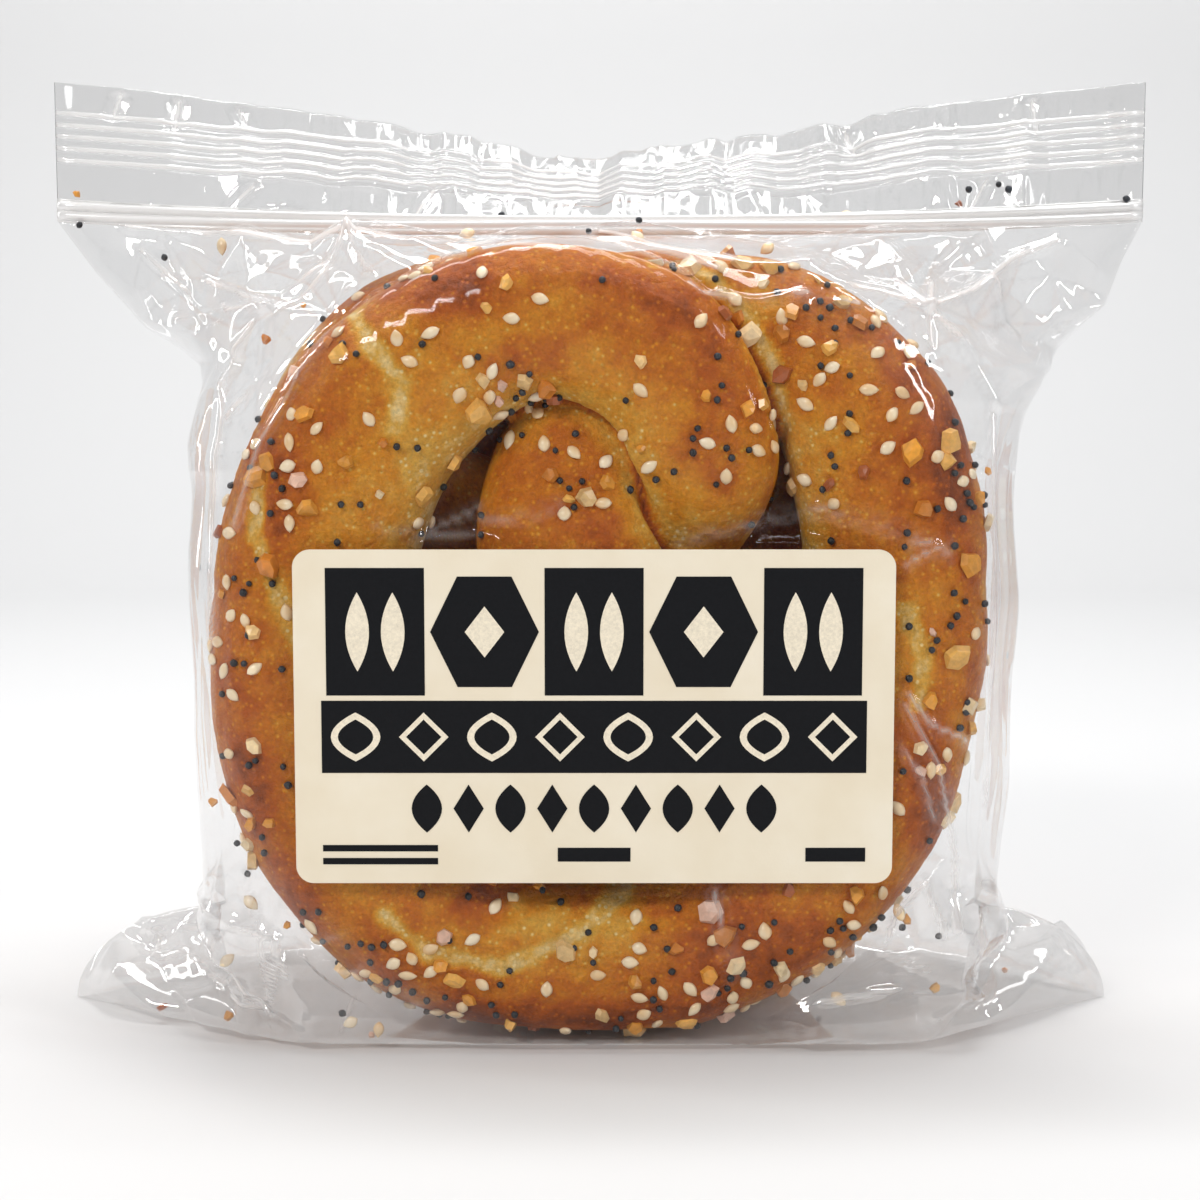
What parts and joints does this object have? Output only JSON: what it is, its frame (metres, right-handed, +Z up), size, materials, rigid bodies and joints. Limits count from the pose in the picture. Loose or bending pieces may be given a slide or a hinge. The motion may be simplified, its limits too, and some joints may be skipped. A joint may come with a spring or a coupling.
{
  "type": "bagged soft pretzels",
  "caption": "Baked soft pretzels with seeds, stacked in a clear zip bag that stands upright, with a paper label on the front.",
  "frame": {"origin": "on the floor under the middle of the pack", "axes": "+Z up, +X to the right of someone who reads the label, and the label faces -Y"},
  "size_m": [0.195, 0.0732, 0.1676],
  "materials": {
    "bag_film": "clear glossy polypropylene film, crinkled, with a ribbed zip along the top",
    "label_paper": "uncoated cream paper label with flat black print",
    "pretzel_crust": "baked crust, glossy orange-brown on the high sides and pale yellow in the folds",
    "sesame": "hulled sesame seed, satin cream",
    "poppy": "poppy seed, dull blue-black",
    "dried_flakes": "dried onion and garlic flakes, amber and translucent"
  },
  "bodies": {
    "root": {"bag": "bag_film", "label": "label_paper"}
  },
  "joints": []
}
